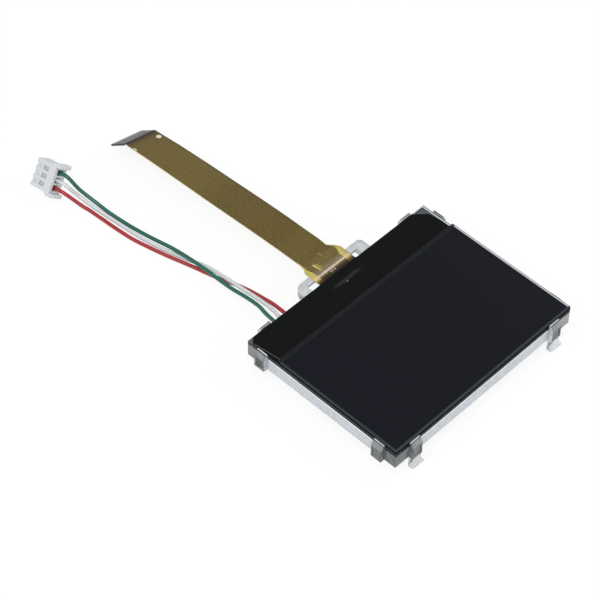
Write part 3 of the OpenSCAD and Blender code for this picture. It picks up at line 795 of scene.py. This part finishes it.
def film_mesh():
    """The film as a closed skin, with the distance and the place in the bundle as attributes."""
    columns = 12
    shape = bmesh.new()
    top, bottom, along, lane = [], [], [], []
    for place, pitch, roll, width, distance in stations:
        across, up = station_axes(pitch, roll)
        for face, lift in ((top, film_thick), (bottom, 0.0)):
            row = []
            for k in range(columns + 1):
                offset = (k / columns - 0.5) * width
                spot = place + across * offset + up * lift
                row.append(shape.verts.new(spot + Vector((0, tail_edge, 0))))
                along.append(distance)
                lane.append(offset / bundle_half(distance))
            face.append(row)
    for a, b in zip(range(len(stations) - 1), range(1, len(stations))):
        for k in range(columns):
            shape.faces.new((top[a][k], top[a][k + 1], top[b][k + 1], top[b][k]))
            shape.faces.new((bottom[a][k], bottom[b][k], bottom[b][k + 1], bottom[a][k + 1]))
        near = shape.faces.new((bottom[a][0], top[a][0], top[b][0], bottom[b][0]))
        far = shape.faces.new((bottom[a][-1], bottom[b][-1], top[b][-1], top[a][-1]))
        near.material_index = far.material_index = 1 if stations[b][4] < crease_at else 2
    for k in range(columns):
        shape.faces.new((bottom[0][k], bottom[0][k + 1], top[0][k + 1], top[0][k]))
        shape.faces.new((bottom[-1][k], top[-1][k], top[-1][k + 1], bottom[-1][k + 1]))
    mesh = bpy.data.meshes.new("polyimide_film")
    shape.to_mesh(mesh)
    shape.free()
    for name, values in (("along", along), ("lane", lane)):
        layer = mesh.attributes.new(name, "FLOAT", "POINT")
        layer.data.foreach_set("value", values)
    for face in mesh.polygons:
        face.use_smooth = abs(face.normal.z) > 0.5
    return mesh


def bands(nodes, links, colours):
    """Colours by the distance from the glass edge in millimetres; the callers put painted shade,
    highlight and reflection in them.
    """
    along = nodes.new("ShaderNodeAttribute")
    along.attribute_name = "along"
    share = nodes.new("ShaderNodeMapRange")
    share.inputs["From Min"].default_value = 0.0
    share.inputs["From Max"].default_value = 0.072
    links.new(along.outputs["Fac"], share.inputs["Value"])
    ramp = nodes.new("ShaderNodeValToRGB")
    strip = ramp.color_ramp
    while len(strip.elements) < len(colours):
        strip.elements.new(0.5)
    for element, (distance, colour) in zip(strip.elements, colours):
        element.position = distance / 72
        element.color = linear(*colour)
    links.new(share.outputs["Result"], ramp.inputs["Fac"])
    return ramp.outputs["Color"]


def polyimide():
    """Amber film: clear yellow beside the tracks, olive among them, with painted shade near the
    glass and at the crease, a painted highlight line across the head and a partly painted
    reflection over the bar.
    """
    material = finish("polyimide", linear(150, 130, 66), 0.33, grain=1500, mottle=0.06,
                      relief=0.03, Specular_IOR_Level=0.25)
    nodes = material.node_tree.nodes
    links = material.node_tree.links
    shader = nodes["Principled BSDF"]
    lane = nodes.new("ShaderNodeAttribute")
    lane.attribute_name = "lane"
    size = nodes.new("ShaderNodeMath")
    size.operation = "ABSOLUTE"
    links.new(lane.outputs["Fac"], size.inputs[0])
    beside = nodes.new("ShaderNodeMapRange")
    beside.inputs["From Min"].default_value = 0.99
    beside.inputs["From Max"].default_value = 1.03
    links.new(size.outputs[0], beside.inputs["Value"])
    # Among the tracks: painted shade up to 1.55 mm from the glass, a painted highlight line at
    # 1.7 to 1.9 mm, greyer over the bar to 3.3 mm (partly the bar through the film, partly a
    # painted reflection) and painted shade at the crease from 66.6 mm.
    among = bands(nodes, links, (
        (0.0, (36, 32, 22)), (0.45, (48, 40, 20)), (0.7, (68, 56, 30)), (1.0, (96, 80, 52)),
        (1.55, (138, 122, 92)), (1.7, (230, 216, 194)), (1.9, (230, 216, 194)),
        (2.1, (148, 136, 112)), (3.3, (144, 131, 98)), (3.9, (146, 130, 74)),
        (8.0, (136, 120, 64)), (66.6, (124, 109, 54)), (67.9, (94, 78, 56)),
        (68.6, (52, 45, 40)),
    ))
    # Beside the tracks: painted shade up to 1.25 mm, a painted highlight line at 1.75 to 1.95
    # mm, and greyer over the bar to 3.4 mm, partly the bar through the film and partly a painted
    # reflection.
    bare = bands(nodes, links, (
        (0.0, (44, 34, 10)), (0.3, (65, 48, 8)), (0.65, (90, 70, 18)), (1.0, (140, 116, 56)),
        (1.25, (182, 155, 96)), (1.75, (212, 186, 138)), (1.95, (212, 186, 138)),
        (2.2, (182, 164, 112)), (3.4, (182, 170, 100)), (3.9, (184, 172, 84)),
        (7.0, (186, 174, 86)), (9.5, (96, 84, 40)), (68.6, (70, 60, 34)),
    ))
    edge = nodes.new("ShaderNodeMix")
    edge.data_type = "RGBA"
    links.new(beside.outputs["Result"], edge.inputs["Factor"])
    links.new(among, edge.inputs["A"])
    links.new(bare, edge.inputs["B"])
    links.new(edge.outputs["Result"], shader.inputs["Base Color"])
    return material


film = plain_piece("polyimide_film", film_mesh(), polyimide(), "flex_circuit")
film.data.materials.append(finish("cut_film", linear(206, 196, 132), 0.4, mottle=0.1))
film.data.materials.append(finish("cut_stiffener", linear(62, 60, 64), 0.5, mottle=0.1))
coat("contact_fingers",
     finish("tinned_contacts", linear(168, 162, 170), 0.36, Metallic=0.7))
coat("flex_stiffener", finish("stiffener", linear(74, 70, 76), 0.5))


# ------------------------------------------------------------ copper tracks
# Twenty etched tracks stand up faintly under the coverlay, from the bonded
# head to the tinned contacts.  They fan out where the strip widens.
track_wide = 0.00026
track_high = 0.00003
parted_tracks, parted_by = 5, 0.00035
gap_far, gap_long = 0.0062, 0.0036


def track_guides():
    """One line for each track, along its middle, with the roll of the film there."""
    shape = bmesh.new()
    rolls, along = [], []
    for i in range(track_count):
        share = (i + 0.5) / track_count * 2 - 1
        last = None
        for place, pitch, roll, _, distance in stations:
            if distance > crease_at + end_long:
                continue
            across, up = station_axes(pitch, roll)
            spread = share * bundle_half(distance)
            if i < parted_tracks:
                gap = min(max((gap_far - distance) / gap_long, 0), 1)
                spread -= parted_by * gap
            spot = place + across * spread + up * film_thick + Vector((0, tail_edge, 0))
            here = shape.verts.new(spot)
            rolls.append(-roll)
            along.append(distance)
            if last:
                shape.edges.new((last, here))
            last = here
    mesh = bpy.data.meshes.new("track_guides")
    shape.to_mesh(mesh)
    shape.free()
    for name, values in (("lean", rolls), ("along", along)):
        layer = mesh.attributes.new(name, "FLOAT", "POINT")
        layer.data.foreach_set("value", values)
    return mesh


def tracks_tree(material):
    """Sweeps a flat bar along every guide line."""
    tree = bpy.data.node_groups.new("tracks", "GeometryNodeTree")
    face = tree.interface
    face.new_socket("Geometry", in_out="INPUT", socket_type="NodeSocketGeometry")
    wide = face.new_socket("Width", in_out="INPUT", socket_type="NodeSocketFloat")
    high = face.new_socket("Height", in_out="INPUT", socket_type="NodeSocketFloat")
    face.new_socket("Geometry", in_out="OUTPUT", socket_type="NodeSocketGeometry")
    nodes = tree.nodes
    links = tree.links
    start = nodes.new("NodeGroupInput")
    end = nodes.new("NodeGroupOutput")
    lines = nodes.new("GeometryNodeMeshToCurve")
    upright = nodes.new("GeometryNodeSetCurveNormal")
    upright.mode = "Z_UP"
    lean = nodes.new("GeometryNodeInputNamedAttribute")
    lean.data_type = "FLOAT"
    lean.inputs["Name"].default_value = "lean"
    tilt = nodes.new("GeometryNodeSetCurveTilt")
    bar = nodes.new("GeometryNodeCurvePrimitiveQuadrilateral")
    sweep = nodes.new("GeometryNodeCurveToMesh")
    sweep.inputs["Fill Caps"].default_value = True
    real = nodes.new("GeometryNodeRealizeInstances")
    paint = nodes.new("GeometryNodeSetMaterial")
    paint.inputs["Material"].default_value = material
    links.new(start.outputs["Geometry"], lines.inputs["Mesh"])
    links.new(lines.outputs["Curve"], upright.inputs["Curve"])
    links.new(upright.outputs["Curve"], tilt.inputs["Curve"])
    links.new(lean.outputs["Attribute"], tilt.inputs["Tilt"])
    links.new(start.outputs["Width"], bar.inputs["Width"])
    links.new(start.outputs["Height"], bar.inputs["Height"])
    links.new(tilt.outputs["Curve"], sweep.inputs["Curve"])
    links.new(bar.outputs["Curve"], sweep.inputs["Profile Curve"])
    links.new(sweep.outputs["Mesh"], real.inputs["Geometry"])
    links.new(real.outputs["Geometry"], paint.inputs["Geometry"])
    links.new(paint.outputs["Geometry"], end.inputs["Geometry"])
    return tree, {"Width": wide.identifier, "Height": high.identifier}


def grown(name, mesh, tree, sizes):
    """Runs a node tree on a guide mesh and gives back the result as a plain mesh."""
    guide = bpy.data.objects.new(name + "_guide", mesh)
    bpy.context.collection.objects.link(guide)
    modifier = guide.modifiers.new(name, "NODES")
    modifier.node_group = tree
    for identifier, size in sizes.items():
        modifier[identifier] = size
    bpy.context.view_layer.update()
    seen = guide.evaluated_get(bpy.context.evaluated_depsgraph_get())
    result = bpy.data.meshes.new_from_object(seen)
    result.name = name
    guide.modifiers.remove(modifier)
    bpy.data.objects.remove(guide)
    return result


def covered_copper():
    """Copper seen through the amber coverlay, with the same painted shade, highlight line and
    partly painted reflection as the film.
    """
    material = finish("covered_copper", linear(84, 66, 38), 0.34, grain=2500, mottle=0.1,
                      Specular_IOR_Level=0.25)
    nodes = material.node_tree.nodes
    links = material.node_tree.links
    # Painted shade up to 1.55 mm, a painted highlight line at 1.7 to 1.9 mm, greyer over the bar
    # to 3.3 mm, partly a painted reflection, and painted shade at the crease from 66.6 mm.
    colour = bands(nodes, links, (
        (0.0, (26, 24, 20)), (0.6, (40, 34, 18)), (1.0, (66, 52, 32)), (1.55, (112, 98, 76)),
        (1.7, (204, 190, 166)), (1.9, (204, 190, 166)), (2.1, (118, 106, 86)),
        (3.3, (92, 80, 56)), (3.9, (66, 50, 22)), (8.0, (64, 47, 20)),
        (66.6, (70, 54, 26)), (67.9, (60, 48, 34)), (68.6, (42, 36, 32)),
    ))
    links.new(colour, nodes["Principled BSDF"].inputs["Base Color"])
    return material


copper = covered_copper()
tree, sockets = tracks_tree(copper)
tracks = grown("copper_tracks", track_guides(), tree,
               {sockets["Width"]: track_wide, sockets["Height"]: track_high})
tracks.materials.clear()
plain_piece("copper_tracks", tracks, copper)


# ----------------------------------------------------------- coverlay marks
# Openings in the coverlay and clear spots in the copper show as small pale or
# dark marks: by the bonded head, and by the two corners of the far end.
def on_film(distance, offset, lift):
    """A point over the film, from its distance to the glass and its offset from the middle."""
    for a, b in zip(stations, stations[1:]):
        if a[4] <= distance <= b[4]:
            share = (distance - a[4]) / (b[4] - a[4])
            across, up = station_axes(
                a[1] + (b[1] - a[1]) * share, a[2] + (b[2] - a[2]) * share
            )
            return (
                a[0].lerp(b[0], share) + across * offset + up * (film_thick + lift)
                + Vector((0, tail_edge, 0))
            )


mark_under, mark_over = 0.00002, 0.00006


def film_mark(name, outline, material):
    """A thin flat patch on the film, from its outline as distances and offsets."""
    shape = bmesh.new()
    low = [shape.verts.new(on_film(along, aside, mark_under)) for along, aside in outline]
    high = [shape.verts.new(on_film(along, aside, mark_over)) for along, aside in outline]
    shape.faces.new(low[::-1])
    shape.faces.new(high)
    for i in range(len(outline)):
        j = (i + 1) % len(outline)
        shape.faces.new((low[i], low[j], high[j], high[i]))
    bmesh.ops.recalc_face_normals(shape, faces=shape.faces)
    mesh = bpy.data.meshes.new(name)
    shape.to_mesh(mesh)
    shape.free()
    plain_piece(name, mesh, material)


mark_near, mark_far = 0.0006, 0.0013
gap_wide = 0.00022
pale_copper = finish("pale_copper", linear(226, 204, 128), 0.4, mottle=0.08)
clear_amber = finish("clear_amber", linear(142, 126, 56), 0.4, mottle=0.1)
white_pad = finish("white_pad", linear(238, 222, 214), 0.5, mottle=0.06)
bare_glue = finish("bare_glue", linear(34, 22, 18), 0.5, mottle=0.2)
bare_copper = finish("bare_copper", linear(196, 176, 150), 0.4, mottle=0.1)
film_mark("clear_field", [(0.0029, -0.0026), (0.0053, -0.0028), (0.0053, -0.0021),
                          (0.0034, -0.0014)], clear_amber)
film_mark("long_window", [(0.0028, -0.0027), (0.0053, -0.0031), (0.0055, -0.0028),
                          (0.0030, -0.0023)], pale_copper)
film_mark("short_window", [(0.0058, 0.0008), (0.0071, 0.0007), (0.0071, 0.0010),
                           (0.0060, 0.0011)], clear_amber)
for i, (x, inside) in enumerate((
    (-0.0016, bare_glue), (-0.0013, bare_copper), (-0.0010, bare_glue), (-0.0007, bare_copper),
    (-0.0003, bare_glue), (0.0, bare_copper),
)):
    film_mark("lead_gap_%d" % i, [(mark_near, x), (mark_far, x), (mark_far, x + gap_wide),
                                  (mark_near, x + gap_wide)], inside)
pad_radius = 0.0007
film_mark("round_pad", [
    (0.0659 + pad_radius * math.cos(turn), 0.00380 + pad_radius * math.sin(turn))
    for turn in [math.tau * k / 20 for k in range(20)]
], white_pad)
film_mark("edge_window", [(0.0648, -0.00508), (0.0660, -0.00508), (0.0660, -0.00476),
                          (0.0648, -0.00476)], finish("pale_window", linear(226, 224, 176), 0.4))


# ------------------------------------------------------------------- stage
# A plain white surface that keeps a faint shadow, and soft light from a wide
# panel above and an even sky.
floor_glow = 0.88
floor_sink = 0.00002


def white_floor():
    """A matt white floor that glows evenly to the camera and keeps a faint shadow."""
    material = bpy.data.materials.new("floor_white")
    material.use_nodes = True
    nodes = material.node_tree.nodes
    links = material.node_tree.links
    nodes.remove(nodes["Principled BSDF"])
    matt = nodes.new("ShaderNodeBsdfDiffuse")
    matt.inputs["Color"].default_value = (0.95, 0.95, 0.95, 1)
    glow = nodes.new("ShaderNodeEmission")
    ray = nodes.new("ShaderNodeLightPath")
    seen = nodes.new("ShaderNodeMath")
    seen.operation = "MAXIMUM"
    through = nodes.new("ShaderNodeMath")
    through.operation = "MAXIMUM"
    share = nodes.new("ShaderNodeMath")
    share.operation = "MULTIPLY"
    share.inputs[1].default_value = floor_glow
    blend = nodes.new("ShaderNodeMixShader")
    links.new(ray.outputs["Is Camera Ray"], seen.inputs[0])
    links.new(ray.outputs["Is Glossy Ray"], seen.inputs[1])
    links.new(seen.outputs[0], through.inputs[0])
    links.new(ray.outputs["Is Transmission Ray"], through.inputs[1])
    links.new(through.outputs[0], share.inputs[0])
    links.new(share.outputs[0], blend.inputs["Fac"])
    links.new(matt.outputs[0], blend.inputs[1])
    links.new(glow.outputs[0], blend.inputs[2])
    links.new(blend.outputs[0], nodes["Material Output"].inputs["Surface"])
    return material


floor_mesh = bpy.data.meshes.new("floor")
reach = 3.0
floor_mesh.from_pydata(
    [(-reach, -reach, 0), (reach, -reach, 0), (reach, reach, 0), (-reach, reach, 0)],
    [], [(0, 1, 2, 3)]
)
floor_mesh.materials.append(white_floor())
floor = bpy.data.objects.new("floor", floor_mesh)
floor.location.z = -floor_sink
bpy.context.collection.objects.link(floor)


def lamp(name, place, size, power):
    """A square soft panel that faces the module."""
    light = bpy.data.lights.new(name, "AREA")
    light.size = size
    light.energy = power
    panel = bpy.data.objects.new(name, light)
    panel.location = place
    panel.rotation_euler = (-Vector(place)).to_track_quat("-Z", "Y").to_euler()
    bpy.context.collection.objects.link(panel)


lamp("key_panel", (-0.5, -0.2, 0.9), 0.7, 7.0)
lamp("fill_panel", (0.7, -0.7, 0.6), 0.8, 3.0)

sky = bpy.data.worlds.new("sky")
bpy.context.scene.world = sky
sky.use_nodes = True
backing = sky.node_tree.nodes["Background"]
backing.inputs["Color"].default_value = (1, 1, 1, 1)
ray = sky.node_tree.nodes.new("ShaderNodeLightPath")
strength = sky.node_tree.nodes.new("ShaderNodeMapRange")
strength.inputs["To Min"].default_value = 0.55
strength.inputs["To Max"].default_value = 1.0
sky.node_tree.links.new(ray.outputs["Is Camera Ray"], strength.inputs["Value"])
sky.node_tree.links.new(strength.outputs["Result"], backing.inputs["Strength"])

bpy.context.scene.view_settings.view_transform = "Standard"
